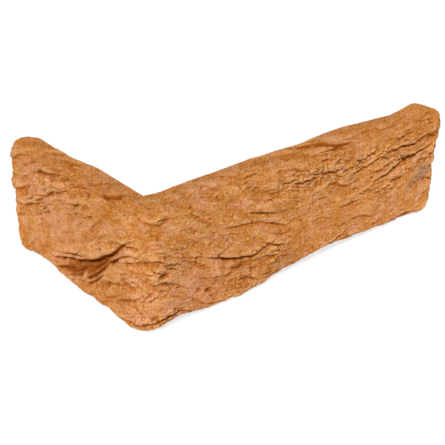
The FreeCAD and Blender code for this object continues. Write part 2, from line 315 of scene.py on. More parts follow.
# Strong folds that can be read from a step away
FOLDS = (
    Crease(((-80, 9), (-71, 13), (-62, 17), (-52, 20), (-44, 23), (-36, 27), (-29, 31), (-20, 38),
            (-13, 45), (-6, 50)), 2.0, 1.3, 1.4, 1.8, 7.0),
    Crease(((-74, 6), (-62, 12), (-52, 16), (-43, 20), (-35, 24), (-27, 30), (-20, 36)),
           1.8, 3.4, 0.0, 0.0),
    Crease(((-80, 2), (-69, 8), (-62, 11), (-53, 14), (-45, 19), (-38, 22)),
           1.0, 0.8, 1.0, 0.3, 1.8),
    Crease(((-66, 4), (-62, 7), (-54, 11), (-49, 14), (-43, 19)), 1.1, 0.9, 0.9, 0.4, 1.8),
    Crease(((-54, 5), (-39, 17), (-30, 24), (-23, 31), (-16, 37), (-10, 41), (-1, 42)),
           1.2, 0.9, 1.3, 0.4, 1.8),
    Crease(((-49, 6), (-40, 13), (-32, 19), (-26, 23)), 0.9, 0.8, 0.8, 0.3, 1.8),
    Crease(((38, 31), (45, 28), (52, 25), (58, 23), (63, 22), (67, 21), (70, 22), (74, 23),
            (77, 24), (84, 26)), 1.8, 1.0, 1.2, 1.2, 5.0),
    Crease(((92, 79), (103, 77), (107, 76), (111, 74.5), (114, 73), (117, 71), (120, 68.5),
            (125, 66), (134, 64), (140, 62.5)), 1.8, 1.1, 1.0, 1.0, 5.0),
    Crease(((155, 34), (164, 36), (170, 37.5), (175, 39), (182, 40.5), (189, 41.5), (194, 42.5),
            (208, 44)), 2.1, 1.0, 1.1, 1.3, 5.0),
    Crease(((172, 49), (180, 51), (186, 50), (193, 50), (198, 51), (207, 50)),
           1.4, 0.9, 0.8, 0.8, 4.0),
    Crease(((-31, 65), (-25, 67), (-19, 69), (-15, 72), (-9, 76)), 1.6, 1.1, 1.0, 0.8, 4.0),
)

# Smaller breaks, read one by one
CREASES = (
    Crease(((-40, 11), (-30, 15), (-23, 20), (-12, 25), (-5, 27)), 0.7),
    Crease(((-76, 60), (-70, 61), (-66, 64), (-61, 66)), 0.9),
    Crease(((-77, 65), (-70, 67), (-64, 70), (-60, 72)), 0.8),
    Crease(((-80, 48), (-71, 50), (-65, 53), (-58, 57)), 0.9),
    Crease(((-99, 32), (-92, 32), (-84, 36), (-78, 41), (-73, 44)), 0.9),
    Crease(((-118, 22), (-110, 24), (-104, 26)), 0.8),
    Crease(((-118, 28), (-107, 31), (-101, 33)), 0.7),
    Crease(((-56, 49), (-49, 52), (-41, 55)), 0.5),
    Crease(((-44, 47), (-39, 49), (-33, 52)), 0.6),
    Crease(((-54, 61), (-48, 62), (-38, 66)), 0.7),
    Crease(((-35, 39), (-28, 43), (-20, 49)), 0.6),
    Crease(((-61, 18), (-53, 24), (-46, 29)), 0.5),
    Crease(((-37, 13), (-28, 18), (-18, 22)), 0.8),
    Crease(((-22, 10), (-14, 16), (0, 21)), 0.9, 1.2, 0.4, 0.8),
    Crease(((-14, 36), (-7, 38), (0, 39), (11, 39), (14, 37), (18, 34), (23, 33), (27, 33)),
           1.0, 0.9, 0.7, 0.5),
    Crease(((22, 36), (32, 33), (37, 33)), 0.8),
    Crease(((45, 30), (49, 31), (53, 32)), 0.6),
    Crease(((52, 20), (58, 18), (63, 18)), 1.0, 1.3, 0.4, 0.6),
    Crease(((65, 14), (71, 14)), 0.8, 1.0),
    Crease(((68, 18), (74, 18), (80, 18), (85, 16), (92, 12)), 1.0, 0.9, 0.7, 0.6),
    Crease(((78, 11), (83, 12), (88, 11), (95, 7)), 1.0, 1.0, 0.5, 0.5),
    Crease(((72, 8), (77, 7), (81, 7)), 0.9, 1.0),
    Crease(((61, 10), (67, 8), (72, 6)), 0.9, 1.0),
    Crease(((34, 22), (39, 19), (43, 18), (50, 16)), 0.7),
    Crease(((0, 18), (6, 22), (11, 26)), 0.8, 0.8, 0.6, 0.2),
    Crease(((3, 17), (9, 20), (15, 22)), 0.7, 0.8, 0.5, 0.2),
    Crease(((-4, 5), (3, 5), (8, 5)), 0.9, 1.0),
    Crease(((4, 7), (8, 8), (13, 8)), 0.7),
    Crease(((6, 3), (11, 5), (15, 6), (19, 7)), 1.0, 1.0),
    Crease(((106, 79), (114, 77), (118, 75)), 0.8),
    Crease(((119, 68), (125, 70)), 0.7),
    Crease(((101, 70), (107, 68)), 0.6),
    Crease(((106, 65), (111, 64), (121, 61)), 0.7),
    Crease(((61, 66), (65, 67), (70, 67)), 0.9, 1.2),
    Crease(((60, 59), (67, 59)), 0.6),
    Crease(((64, 56), (68, 57), (72, 57)), 0.6),
    Crease(((10, 60), (19, 59)), 0.8),
    Crease(((99, 51), (104, 51), (110, 50)), 0.9, 0.8, 0.5, 0.4),
    Crease(((102, 49), (108, 49), (114, 49)), 0.7, 0.7),
    Crease(((112, 52), (119, 50), (127, 48)), 0.8, 0.8),
    Crease(((131, 40), (136, 40), (142, 40)), 1.0, 0.7),
    Crease(((136, 37), (141, 38), (147, 39)), 1.0, 0.7),
    Crease(((135, 48), (140, 48)), 0.8),
    Crease(((155, 39), (166, 40)), 0.7),
    Crease(((157, 45), (162, 48), (166, 47), (172, 48)), 0.8),
    Crease(((178, 56), (184, 54), (187, 56)), 0.6),
    Crease(((195, 62), (206, 60)), 0.9),
    Crease(((199, 69), (207, 66)), 0.7),
    Crease(((193, 28), (199, 23)), 0.8, 1.0),
    Crease(((201, 23), (206, 22), (214, 20)), 1.0, 0.9),
    Crease(((174, 29), (182, 31)), 0.7),
    Crease(((154, 28), (161, 26), (167, 27)), 0.6),
    Crease(((202, 40), (211, 37)), 0.8),
    Crease(((177, 24), (183, 24)), 0.6),
)

# Course of one stratum round the slip: distance from the outer corner, height
STRATUM_COURSE = (
    (-125, -16), (-76, 8), (-39, 23), (-13, 39), (4, 41), (25, 34), (60, 20), (100, 9),
    (140, 5), (175, 8), (220, 15),
)

# Wavy outline of bed and crest: distance from the outer corner, share of the lobe drop
BED_OUTLINE = (
    (-120, 0.2), (-107, 0.2), (-88, 1.4), (-72, 0.8), (-55, 0.1), (-44, 0.6), (-36, 0.5),
    (-28, 1.2), (-20, 0.6), (-10, 0.5), (0, 0.4), (18, 1.2), (36, 0.4), (52, 0.1), (69, 0.1),
    (78, 0.4), (88, 1.2), (112, 1.8), (130, 1.6), (150, 1.1), (172, 0.4), (190, 0.2),
    (203, 0.3), (218, 0.4),
)
CREST_OUTLINE = (
    (-120, 0.1), (-98, 1.0), (-70, 1.1), (-54, 0.6), (-42, 0.2), (-16, 0.5), (0, 0.6), (9, 0.9),
    (20, 0.7), (44, 0.6), (66, 0.4), (76, 0.6), (90, 0.6), (104, 0.9), (118, 0.5), (142, 0.4),
    (158, 0.8), (176, 1.3), (190, 1.1), (202, 0.5), (211, 0.7), (220, 0.6),
)

# Wavy outline of the two ends: height, shift along the leg
LONG_END = (
    (0, -0.8), (12, -0.6), (24, -1.4), (36, -2.7), (43, -2.0), (49, 0.5), (56, -0.2), (66, -1.6),
)
SHORT_END = (
    (0, -0.2), (10, -0.5), (24, -0.7), (36, -0.7), (44, -1.0), (50, -1.4), (57, -0.9), (66, -0.4),
)


def cover(patches: tuple, along: np.ndarray, height: np.ndarray) -> np.ndarray:
    """Return how strongly a set of patches covers each place.

    Args:
        patches: The patches.
        along: Distances from the outer corner.
        height: Unrolled heights.

    Returns:
        The strength of the strongest patch at each place.
    """
    total = np.zeros(len(along))
    for patch in patches:
        far_along = (along - patch.along) / patch.half_along
        far_up = (height - patch.height) / patch.half_height
        total = np.maximum(total, patch.strength * np.exp(-(far_along ** 2 + far_up ** 2)))
    return total


@dataclass
class RivenSkin:
    """Relief of the riven skin, along the strata and at the single breaks.

    Steps, depths and heights are in millimetres. A shade says how strongly a form is darkened
    by painted shade in its crevices.
    """

    block_height: float
    turn: float = 15.0
    drift: Weave = Weave(38.0, 38.0, 30.0, 3.0)
    drift_height: float = 2.4
    broad: Weave = Weave(44.0, 30.0, 14.0, 7.0)
    broad_swell: float = 0.9
    thick: Strata = Strata(7.0, 41.0)
    thick_step: float = 2.2
    thick_least: float = 0.35
    thick_shade: float = 0.6
    thin: Strata = Strata(2.9, 51.0)
    thin_step: float = 1.2
    thin_shade: float = 0.45
    uneven: Weave = Weave(22.0, 22.0, 14.0, 31.0)
    uneven_share: float = 0.35
    least_rough: float = 0.30
    rough_limits: tuple = (0.12, 1.25)
    hairs: Weave = Weave(6.0, 4.5, 1.7, 23.0)
    hair_sharpness: float = 4.5
    hair_depth: float = 0.7
    hair_shade: float = 0.25
    pits: Weave = Weave(2.6, 2.4, 2.1, 29.0)
    pit_level: float = 0.42
    pit_slope: float = 0.25
    pit_depth: float = 0.8
    pit_shade: float = 0.35
    pebbles: Weave = Weave(1.5, 1.5, 1.4, 37.0)
    pebble: float = 0.43
    crumbs: Weave = Weave(3.4, 2.6, 1.7, 83.0)
    crumb_sharpness: float = 2.6
    crumb: float = 0.65
    crumb_level: float = 0.35
    crumb_most: float = 0.8
    lumps: Weave = Weave(6.5, 6.0, 3.6, 71.0)
    lump: float = 0.35
    pock_shade: float = 0.7
    wobble: Weave = Weave(4.0, 4.0, 6.0, 61.0)
    small_share: float = 0.7
    crest_calm: float = 0.5
    crest_sand: float = 1.2
    crest_rim: float = 3.0
    crest_reach: float = 9.0
    rough_patches: tuple = (
        Patch(-68, 60, 26, 12, 0.9),
        Patch(-90, 38, 18, 10, 0.6),
        Patch(-45, 22, 30, 10, 0.3),
        Patch(8, 30, 26, 12, 0.6),
        Patch(8, 5, 16, 5, 0.8),
        Patch(75, 14, 26, 9, 0.8),
        Patch(118, 50, 34, 8, 0.9),
        Patch(112, 70, 24, 6, 0.6),
        Patch(186, 46, 30, 16, 1.0),
        Patch(160, 27, 20, 6, 0.6),
        Patch(-50, 74, 40, 6, 0.6),
        Patch(60, 74, 40, 6, 0.5),
        Patch(160, 74, 40, 6, 0.5),
    )
    bulges: tuple = (
        Patch(-116, 54, 8, 7, 0.9),
        Patch(-112, 70, 8, 7, 0.7),
        Patch(-117, 44, 7, 5, 1.3),
        Patch(-37, 3, 6, 5, 0.4),
        Patch(-20, 4, 7, 6, 0.5),
        Patch(69, 4, 9, 6, 1.8),
        Patch(213, 63, 8, 7, 0.9),
        Patch(-116, 26, 6, 6, 0.7),
        Patch(-116, 8, 7, 10, 0.8),
        Patch(52, 3, 7, 5, 0.8),
        Patch(202, 3, 8, 6, 1.7),
    )
    crumb_patches: tuple = (
        Patch(96, 53, 26, 6, 0.7),
        Patch(30, 72, 26, 6, 0.4),
        Patch(-50, 64, 34, 6, 0.6),
        Patch(176, 26, 16, 6, 0.6),
    )
    pocks: tuple = (
        Patch(33, 14.5, 1.4, 1.1, 1.3),
        Patch(39, 12, 2.2, 1.3, 1.5),
        Patch(13, 29.5, 2.6, 1.1, 1.4),
        Patch(-11, 26, 2.2, 1.1, 1.2),
        Patch(-38, 61, 2.4, 1.4, 1.4),
        Patch(52, 16, 2.4, 1.0, 1.2),
    )
    calm_patches: tuple = (
        Patch(-48, 17, 26, 12, 0.85),
        Patch(-14, 41, 14, 8, 0.6),
        Patch(180, 40, 30, 5, 0.7),
        Patch(190, 51, 20, 4, 0.5),
        Patch(60, 25, 24, 5, 0.6),
        Patch(116, 70, 24, 7, 0.6),
        Patch(150, 20, 60, 12, 0.5),
        Patch(160, 62, 30, 8, 0.5),
        Patch(-98, 20, 20, 16, 0.6),
        Patch(-100, 56, 12, 12, 0.5),
    )

    def unrolled(self, depth: np.ndarray, rise: np.ndarray) -> np.ndarray:
        """Return the height on the outer face, running on over the crest and under the bed."""
        over = ease((rise - self.block_height + self.turn) / self.turn)
        under = ease((self.turn - rise) / self.turn)
        return rise + depth * (over - under)

    def roughness(self, along: np.ndarray, depth: np.ndarray, unrolled: np.ndarray) -> np.ndarray:
        """Return how rough the skin is.

        Args:
            along: Distances from the outer corner.
            depth: Distances behind the outer face.
            unrolled: Unrolled heights.

        Returns:
            A share of the full roughness at each place.
        """
        patched = self.least_rough + cover(self.rough_patches, along, unrolled)
        uneven = self.uneven_share * self.uneven.at(along, depth, unrolled)
        return np.clip(patched + uneven, *self.rough_limits)

    def relief(self, along: np.ndarray, depth: np.ndarray, rise: np.ndarray) -> tuple:
        """Return the relief over the whole skin.

        Args:
            along: Distances from the outer corner, negative on the short leg.
            depth: Distances behind the outer face.
            rise: Heights on the plain block.

        Returns:
            Outward offsets in millimetres, strengths of painted shade in crevices, and heights
            across the strata.
        """
        unrolled = self.unrolled(depth, rise)
        level = unrolled - follow(STRATUM_COURSE, along)
        flow = level + self.drift_height * self.drift.at(along, depth, level)
        rough = self.roughness(along, depth, unrolled)
        past_rim = (unrolled - self.block_height + self.crest_rim) / self.crest_reach
        crest_share = 1.0 - self.crest_calm * ease(past_rim)
        lively = (1.0 - cover(self.calm_patches, along, unrolled)) * crest_share

        thick, thick_notch = self.thick.edges(along, depth, flow)
        thin, thin_notch = self.thin.edges(along, depth, flow)
        hairs = 1.0 - self.hair_sharpness * np.abs(self.hairs.at(along, depth, flow))
        hairs = np.maximum(0.0, hairs) * rough
        pits = ease((self.pits.at(along, depth, unrolled) - self.pit_level) / self.pit_slope)
        crumbs = 1.0 - self.crumb_sharpness * np.abs(self.crumbs.at(along, depth, flow))
        crumbly = np.clip(rough - self.crumb_level, 0.0, self.crumb_most)
        crumbly = crumbly + cover(self.crumb_patches, along, unrolled)
        sandy = 1.0 + self.crest_sand * (1.0 - crest_share)
        stepped = self.thick_least + (1.0 - self.thick_least) * rough
        pocked = cover(self.pocks, along, unrolled)
        total = (
            self.broad_swell * self.broad.at(along, depth, flow)
            + crest_share * self.thick_step * thick * stepped
            + lively * (self.thin_step * thin * rough - self.hair_depth * hairs)
            - self.pit_depth * pits
            + self.pebble * sandy * self.pebbles.at(along, depth, unrolled)
            + self.lump * self.lumps.at(along, depth, flow)
            + self.crumb * crumbs * crumbly
            - pocked
        )
        for bulge in self.bulges:
            total += cover((bulge,), along, unrolled)
        # Painted shade: how far notches, pits, hairs, pocks and crease cracks are darkened in
        # colour
        painted_shade = (
            self.thick_shade * thick_notch * rough
            + self.pit_shade * pits
            + lively * (self.thin_shade * thin_notch * rough + self.hair_shade * hairs)
            + self.pock_shade * pocked
        )

        wobble = self.wobble.at(along, depth, flow)
        for creases, share in ((FOLDS, 1.0), (CREASES, self.small_share)):
            for crease in creases:
                shift, crease_shade = crease.relief(along, unrolled, wobble)
                total += share * shift
                painted_shade += share * crease_shade
        return total, painted_shade, flow


class Tone(Enum):
    """Colours of the fired clay, and of the highlight and shade painted on it, as shares of red,
    green and blue light.
    """

    BASE = (0.620, 0.255, 0.062)
    OCHRE = (0.510, 0.165, 0.012)
    PINK = (0.720, 0.358, 0.222)
    GREY = (0.360, 0.230, 0.145)
    # Pale tone: random pale grain and fibres, and also the painted highlight on ridges
    PALE_GRAIN_AND_HIGHLIGHT = (0.800, 0.410, 0.165)
    # Deep tone: random deep-brown grain, and also the painted shade in hollows
    DARK_GRAIN_AND_SHADE = (0.470, 0.125, 0.006)
    # Painted shade laid in cracks, notches, pits and under lips
    CREVICE_SHADE = (0.290, 0.062, 0.002)


@dataclass(frozen=True)
class Grit:
    """A noise in the clay: its cells in a metre, its finer parts and the share each keeps.

    With strata, its cells follow the strata instead. Strata gives the cells in a millimetre
    along them, through them and across them.
    """

    scale: float
    detail: float
    rough: float = 0.5
    strata: tuple | None = None


@dataclass(frozen=True)
class Ramp:
    """Turns a value into a cover: none at the low mark, and the top cover at the high mark."""

    low: float
    high: float
    top: float


@dataclass(frozen=True)
class Mottle:
    """A tone that a noise lays over the clay."""

    tone: Tone
    grit: Grit
    ramp: Ramp


@dataclass(frozen=True)
class Roughcast:
    """A bump that only the light shows: its noise, its strength and its height in metres."""

    grit: Grit
    strength: float
    height: float


@dataclass
class ClayMixer:
    """Lays the nodes of the clay.

    What the mesh carries counts on the riven skin only. The face value "riven" is 0 on the
    flat backs, and takes it away there.
    """

    tree: bpy.types.NodeTree

    def __post_init__(self) -> None:
        """Read the coordinates that the noises follow."""
        self.place = self.tree.nodes.new("ShaderNodeTexCoord").outputs["Object"]
        self.riven = self.carried("riven", "Fac")
        strata = self.tree.nodes.new("ShaderNodeVectorMath")
        strata.operation = "SCALE"
        self.tree.links.new(self.carried("strata", "Vector"), strata.inputs[0])
        self.tree.links.new(self.riven, strata.inputs["Scale"])
        self.strata = strata.outputs[0]

    def carried(self, name: str, output: str) -> Socket:
        """Read what the mesh carries.

        Args:
            name: Name of the value on the mesh.
            output: Kind of value, "Fac" for a number and "Vector" for a place.

        Returns:
            The value.
        """
        node = self.tree.nodes.new("ShaderNodeAttribute")
        node.attribute_name = name
        return node.outputs[output]

    def on_skin(self, name: str) -> Socket:
        """Read a number of the riven skin, which is 0 on the backs."""
        return self.product(self.carried(name, "Fac"), self.riven)

    def product(self, first: Socket, second: Socket) -> Socket:
        """Multiply two numbers.

        Args:
            first: One number.
            second: The other number.

        Returns:
            Their product.
        """
        node = self.tree.nodes.new("ShaderNodeMath")
        node.operation = "MULTIPLY"
        self.tree.links.new(first, node.inputs[0])
        self.tree.links.new(second, node.inputs[1])
        return node.outputs[0]

    def noise(self, grit: Grit) -> Socket:
        """Make a noise on the slip's own coordinates, or along its strata.

        Args:
            grit: The noise to make.

        Returns:
            A number from 0 to 1.
        """
        node = self.tree.nodes.new("ShaderNodeTexNoise")
        node.inputs["Scale"].default_value = grit.scale
        node.inputs["Detail"].default_value = grit.detail
        node.inputs["Roughness"].default_value = grit.rough
        where = self.place
        if grit.strata is not None:
            mapping = self.tree.nodes.new("ShaderNodeMapping")
            mapping.inputs["Scale"].default_value = grit.strata
            self.tree.links.new(self.strata, mapping.inputs["Vector"])
            where = mapping.outputs["Vector"]
        self.tree.links.new(where, node.inputs["Vector"])
        return node.outputs["Fac"]

    def ramped(self, value: Socket, ramp: Ramp) -> Socket:
        """Turn a value into a cover.

        Args:
            value: The value.
            ramp: The marks between which the cover rises.

        Returns:
            The cover, held between nothing and the ramp's top.
        """
        node = self.tree.nodes.new("ShaderNodeMapRange")
        node.inputs["From Min"].default_value = ramp.low
        node.inputs["From Max"].default_value = ramp.high
        node.inputs["To Max"].default_value = ramp.top
        self.tree.links.new(value, node.inputs["Value"])
        return node.outputs["Result"]

    def plain(self, tone: Tone) -> Socket:
        """Start from one tone.

        Args:
            tone: The tone.

        Returns:
            Its colour.
        """
        node = self.tree.nodes.new("ShaderNodeRGB")
        node.outputs["Color"].default_value = (*tone.value, 1.0)
        return node.outputs["Color"]

    def tinted(self, under: Socket, tone: Tone, amount: Socket) -> Socket:
        """Lay a tone over a colour.

        Args:
            under: The colour below.
            tone: The tone to lay on.
            amount: How far it covers.

        Returns:
            The mixed colour.
        """
        node = self.tree.nodes.new("ShaderNodeMix")
        node.data_type = "RGBA"
        self.tree.links.new(amount, node.inputs["Factor"])
        self.tree.links.new(under, node.inputs["A"])
        node.inputs["B"].default_value = (*tone.value, 1.0)
        return node.outputs["Result"]

    def mottled(self, under: Socket, mottle: Mottle) -> Socket:
        """Lay a mottle over a colour."""
        return self.tinted(under, mottle.tone, self.ramped(self.noise(mottle.grit), mottle.ramp))

    def roughened(self, under: Socket | None, roughcast: Roughcast) -> Socket:
        """Lay a bump over the surface.

        Args:
            under: The bumps below, or None for the bare surface.
            roughcast: The bump to lay on.

        Returns:
            The bumped direction of the surface.
        """
        node = self.tree.nodes.new("ShaderNodeBump")
        node.inputs["Strength"].default_value = roughcast.strength
        node.inputs["Distance"].default_value = roughcast.height
        self.tree.links.new(self.noise(roughcast.grit), node.inputs["Height"])
        if under is not None:
            self.tree.links.new(under, node.inputs["Normal"])
        return node.outputs["Normal"]


@dataclass(frozen=True)
class FiredClay:
    """Matt, sandy, riven clay: orange-tan with ochre, pink and grey patches, with painted shade in
    its crevices and hollows and painted highlight on its ridges.
    """

    roughness: float = 0.95
    gloss: float = 0.03
    mottles: tuple = (
        Mottle(Tone.OCHRE, Grit(38.0, 4.0), Ramp(0.48, 0.64, 0.6)),
        Mottle(Tone.PINK, Grit(52.0, 5.0, 0.6), Ramp(0.52, 0.68, 0.7)),
        Mottle(Tone.GREY, Grit(30.0, 5.0, 0.6), Ramp(0.62, 0.80, 0.4)),
        Mottle(Tone.OCHRE, Grit(110.0, 5.0, 0.62), Ramp(0.49, 0.62, 0.75)),
        Mottle(Tone.PINK, Grit(130.0, 5.0, 0.62), Ramp(0.51, 0.64, 0.75)),
    )
    # Painted highlight on ridges and painted shade in hollows, from how far the relief stands above
    # its neighbourhood
    painted_ridge_highlight: Ramp = Ramp(0.05, 0.95, 0.80)
    broken: Grit = Grit(120.0, 5.0, 0.65)
    broken_cover: Ramp = Ramp(0.30, 0.60, 0.85)
    painted_relief_shading: Ramp = Ramp(-0.05, -0.90, 0.90)
    fibre: Mottle = Mottle(
        Tone.PALE_GRAIN_AND_HIGHLIGHT, Grit(1.0, 4.0, 0.65, (0.30, 0.35, 1.1)), Ramp(0.50, 0.72, 0.55),
    )
    dark_sand: Mottle = Mottle(Tone.DARK_GRAIN_AND_SHADE, Grit(1100.0, 3.0, 0.7), Ramp(0.50, 0.66, 0.85))
    pale_sand: Mottle = Mottle(Tone.PALE_GRAIN_AND_HIGHLIGHT, Grit(1350.0, 2.0, 0.6), Ramp(0.54, 0.68, 0.75))
    # How the painted shade of the crevices is laid on
    painted_shade: Ramp = Ramp(0.15, 1.30, 0.85)
    roughcasts: tuple = (
        Roughcast(Grit(1.0, 5.0, 0.7, (0.35, 0.40, 1.2)), 0.8, 0.0012),
        Roughcast(Grit(640.0, 5.0, 0.7), 1.0, 0.0011),
        Roughcast(Grit(1500.0, 3.0, 0.7), 0.9, 0.0005),
    )

    def material(self) -> bpy.types.Material:
        """Mix the clay.

        Returns:
            The finished material.
        """
        clay = bpy.data.materials.new("riven_fired_clay")
        clay.use_nodes = True
        tree = clay.node_tree
        shader = tree.nodes["Principled BSDF"]
        shader.inputs["Roughness"].default_value = self.roughness
        shader.inputs["Specular IOR Level"].default_value = self.gloss
        mixer = ClayMixer(tree)
        tree.links.new(self.coloured(mixer), shader.inputs["Base Color"])
        surface = None
        for roughcast in self.roughcasts:
            surface = mixer.roughened(surface, roughcast)
        tree.links.new(surface, shader.inputs["Normal"])
        return clay

    def coloured(self, mixer: ClayMixer) -> Socket:
        """Lay the tones over each other, from the wide mottles to the painted shade in the
        crevices.

        Args:
            mixer: The mixer of the clay.

        Returns:
            The colour of the clay.
        """
        painted_relief_shading = mixer.on_skin("painted_relief_shading")
        broken = mixer.ramped(mixer.noise(self.broken), self.broken_cover)
        colour = mixer.plain(Tone.BASE)
        for mottle in self.mottles:
            colour = mixer.mottled(colour, mottle)
        # Painted highlight on ridges
        colour = mixer.tinted(colour, Tone.PALE_GRAIN_AND_HIGHLIGHT, mixer.ramped(painted_relief_shading, self.painted_ridge_highlight))
        for name, tone in (("ochre", Tone.OCHRE), ("pink", Tone.PINK)):
            colour = mixer.tinted(colour, tone, mixer.product(mixer.on_skin(name), broken))
        colour = mixer.tinted(colour, Tone.GREY, mixer.on_skin("grey"))
        # Painted shade in hollows
        colour = mixer.tinted(colour, Tone.DARK_GRAIN_AND_SHADE, mixer.ramped(painted_relief_shading, self.painted_relief_shading))
        for mottle in (self.fibre, self.dark_sand, self.pale_sand):
            colour = mixer.mottled(colour, mottle)
        # Painted shade in the crevices
        painted_shade = mixer.ramped(mixer.on_skin("painted_shade"), self.painted_shade)
        return mixer.tinted(colour, Tone.CREVICE_SHADE, painted_shade)


@dataclass
class SkinPlaces:
    """Where the points of the plain block lie on the slip, in millimetres.

    The side is 1 on the long leg and -1 on the short leg. The share runs along the leg, from
    0 at the mitre to 1 at the end. The depth is behind the outer face.
    """

    side: np.ndarray
    length: np.ndarray
    share: np.ndarray
    depth: np.ndarray
    rise: np.ndarray

    def along(self) -> np.ndarray:
        """Return distances from the outer corner, negative on the short leg."""
        return self.side * self.length * self.share

    def is_long(self) -> np.ndarray:
        """Tell the points of the long leg."""
        return self.side > 0


@dataclass
class CornerSlip:
    """The one-piece corner slip, in the sizes of the CAD body, in millimetres."""

    box: tuple
    long_leg: float = 215.0
    short_leg: float = 117.0
    height: float = 65.0
    thickness: float = 15.0
    corner_radius: float = 14.0
    bed_wear: float = 4.5
    crest_wear: float = 7.0
    end_wear: float = 5.0
    long_low_tip: float = 10.5
    long_high_tip: float = 8.5
    short_low_tip: float = 5.0
    short_high_tip: float = 7.5
    lobe_drop: float = 2.4
    end_reach: float = 22.5
    back_fade: float = 0.65
    dome_drop: float = 2.4
    dome_reach: float = 9.0
    soft_margin: float = 0.5
    # Weights of the fine and wide relief in the painted highlight on ridges and painted shade in
    # hollows
    fine_relief_shading: float = 2.0
    wide_relief_shading: float = 1.3
    pitch: float = 0.74
    rise_pitch: float = 0.45
    depth_pitch: float = 0.85
    fine_steps: int = 20
    wide_steps: int = 90
    finish: FiredClay = field(default_factory=FiredClay)
    pink_patches: tuple = (
        Patch(-92, 52, 9, 12, 0.8),
        Patch(-64, 36, 24, 16, 0.7),
        Patch(-6, 9, 6, 5, 0.9),
        Patch(22, 19, 19, 11, 0.9),
        Patch(34, 73, 16, 6, 0.6),
        Patch(172, 14, 14, 8, 0.3),
    )
    grey_patches: tuple = (
        Patch(201, 28, 8, 6, 1.2),
        Patch(192, 24, 4, 3, 1.0),
        Patch(89, 7, 10, 4, 0.5),
        Patch(-106, 58, 7, 6, 0.35),
    )
    ochre_patches: tuple = (
        Patch(-101, 71, 15, 9, 1.2),
        Patch(-62, 69, 26, 7, 1.0),
        Patch(-24, 68, 22, 10, 1.3),
        Patch(-14, 16, 9, 5, 1.0),
        Patch(-30, 14, 12, 6, 0.5),
        Patch(60, 10, 22, 6, 0.7),
        Patch(73, 71, 16, 7, 0.7),
        Patch(159, 73, 50, 8, 0.95),
        Patch(198, 62, 24, 16, 1.0),
        Patch(200, 50, 12, 6, 1.2),
        Patch(126, 18, 10, 5, 1.1),
        Patch(-40, 6, 14, 6, 0.6),
    )

    def plain_block(self) -> bmesh.types.BMesh:
        """Raise the plain L-shaped block and cut its skin into even steps.

        Returns:
            The open block: its two backs are closed later.
        """
        t = self.thickness
        block = bmesh.new()
        plan = (
            (0, 0), (self.long_leg, 0), (self.long_leg, t), (t, t), (t, self.short_leg),
            (0, self.short_leg),
        )
        corners = [block.verts.new((x, y, 0.0)) for x, y in plan]
        feet = [
            block.faces.new((corners[0], corners[3], corners[2], corners[1])),
            block.faces.new((corners[0], corners[5], corners[4], corners[3])),
        ]
        raised = bmesh.ops.extrude_face_region(block, geom=feet)
        moved = [item for item in raised["geom"] if isinstance(item, bmesh.types.BMVert)]
        bmesh.ops.translate(block, verts=moved, vec=(0.0, 0.0, self.height))
        bmesh.ops.recalc_face_normals(block, faces=block.faces[:])
        backs = [
            face for face in block.faces
            if all(min(vert.co.x, vert.co.y) > t - TOUCH_MM for vert in face.verts)
        ]
        bmesh.ops.delete(block, geom=backs, context="FACES_ONLY")
        steps = {
            Edge.ALONG_LONG: round(self.long_leg / self.pitch),
            Edge.ALONG_SHORT: round(self.short_leg / self.pitch),
            Edge.DEPTH: round(t / self.depth_pitch),
            Edge.RISE: round(self.height / self.rise_pitch),
        }
        for family, count in steps.items():
            chosen = [edge for edge in block.edges if self.family(edge) is family]
            bmesh.ops.subdivide_edges(block, edges=chosen, cuts=count - 1, use_grid_fill=True)
        return block

    def family(self, edge: bmesh.types.BMEdge) -> Edge | None:
        """Tell which way an uncut edge of the block runs.

        Args:
            edge: An edge of the block.

        Returns:
            Its family, or None where it is cut already or stays whole.
        """
        first, second = (vert.co for vert in edge.verts)
        t = self.thickness
        gap = second - first
        if abs(gap.z) > 0.5 * self.height:
            inner = abs(first.x - t) < TOUCH_MM and abs(first.y - t) < TOUCH_MM
            return None if inner else Edge.RISE
        if abs(gap.x) > self.long_leg - t - TOUCH_MM and abs(gap.y) < TOUCH_MM:
            return Edge.ALONG_LONG
        if abs(gap.y) > self.short_leg - t - TOUCH_MM and abs(gap.x) < TOUCH_MM:
            return Edge.ALONG_SHORT
        depths = sorted(min(place.x, place.y) for place in (first, second))
        if depths[0] < TOUCH_MM and depths[1] > t - TOUCH_MM:
            return Edge.DEPTH
        return None

    def laid_out(self, mesh: bpy.types.Mesh) -> SkinPlaces:
        """Read where the points of the plain block lie.

        Args:
            mesh: Mesh of the plain block.

        Returns:
            Their places on the slip.
        """
        flat = np.empty(len(mesh.vertices) * 3)
        mesh.vertices.foreach_get("co", flat)
        x, y, rise = flat.reshape(-1, 3).T
        side = np.where(x >= y, 1.0, -1.0)
        depth = np.minimum(x, y)
        length = np.where(side > 0, self.long_leg, self.short_leg)
        share = (np.maximum(x, y) - depth) / (length - depth)
        return SkinPlaces(side, length, share, depth, rise)

